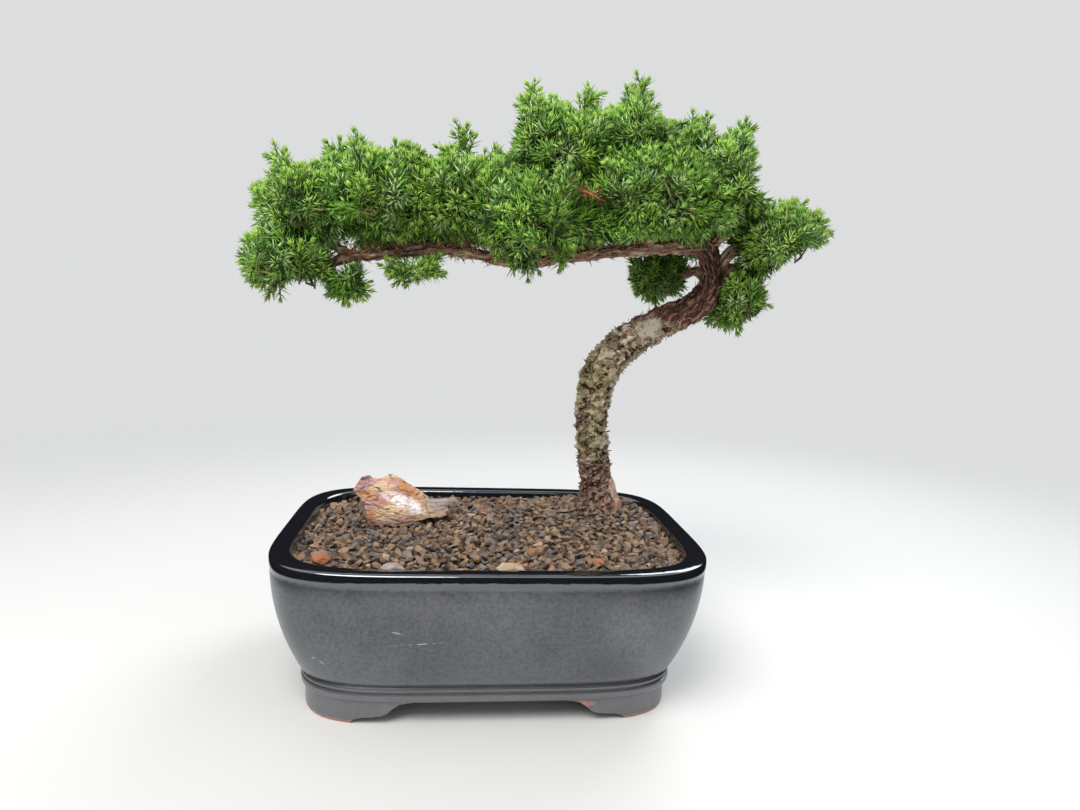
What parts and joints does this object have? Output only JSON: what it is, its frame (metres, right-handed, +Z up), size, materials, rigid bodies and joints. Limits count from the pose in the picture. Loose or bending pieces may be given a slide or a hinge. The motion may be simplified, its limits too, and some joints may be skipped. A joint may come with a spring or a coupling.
{
  "type": "juniper bonsai",
  "caption": "Potted miniature juniper with a bent trunk, a long sweeping bough and dense needle foliage, in a glazed oblong footed pot with gritty soil and a stone.",
  "frame": {"origin": "under the middle of the whole object's box, at the level of the pot's feet", "axes": "+Z up, +X to the right along the pot's long side, +Y away from the front view"},
  "size_m": [0.3322, 0.1738, 0.3317],
  "materials": {
    "glaze": "glossy black glaze over terracotta",
    "grit": "loose angular grains, matt",
    "banded_stone": "matt, banded orange and cream",
    "old_bark": "scaly grey-brown bark",
    "young_bark": "fibrous reddish bark",
    "juniper_needles": "waxy short needles, satin"
  },
  "bodies": {
    "root": {"pot": "glaze", "soil": "grit", "stone": "banded_stone", "trunk": "old_bark", "long_bough": "young_bark", "apex_bough": "young_bark", "upper_left_bough": "young_bark", "right_upper_bough": "young_bark", "right_bough": "young_bark", "lower_right_bough": "young_bark", "back_bough": "young_bark", "back_right_bough": "young_bark", "left_upper_bough": "young_bark", "left_middle_bough": "young_bark", "spire_bough": "young_bark", "front_bough": "young_bark", "centre_bough": "young_bark", "back_centre_bough": "young_bark", "back_left_bough": "young_bark", "left_tip": "juniper_needles", "left_upper": "juniper_needles", "left_middle": "juniper_needles", "left_spire": "juniper_needles", "centre_front": "juniper_needles", "apex_left": "juniper_needles", "apex_right": "juniper_needles", "right_front": "juniper_needles", "right_upper": "juniper_needles", "right_droop": "juniper_needles", "lower_right": "juniper_needles", "back_lower": "juniper_needles", "back_right": "juniper_needles", "back_centre": "juniper_needles", "back_left": "juniper_needles", "under_left": "juniper_needles", "under_middle": "juniper_needles"}
  },
  "joints": []
}
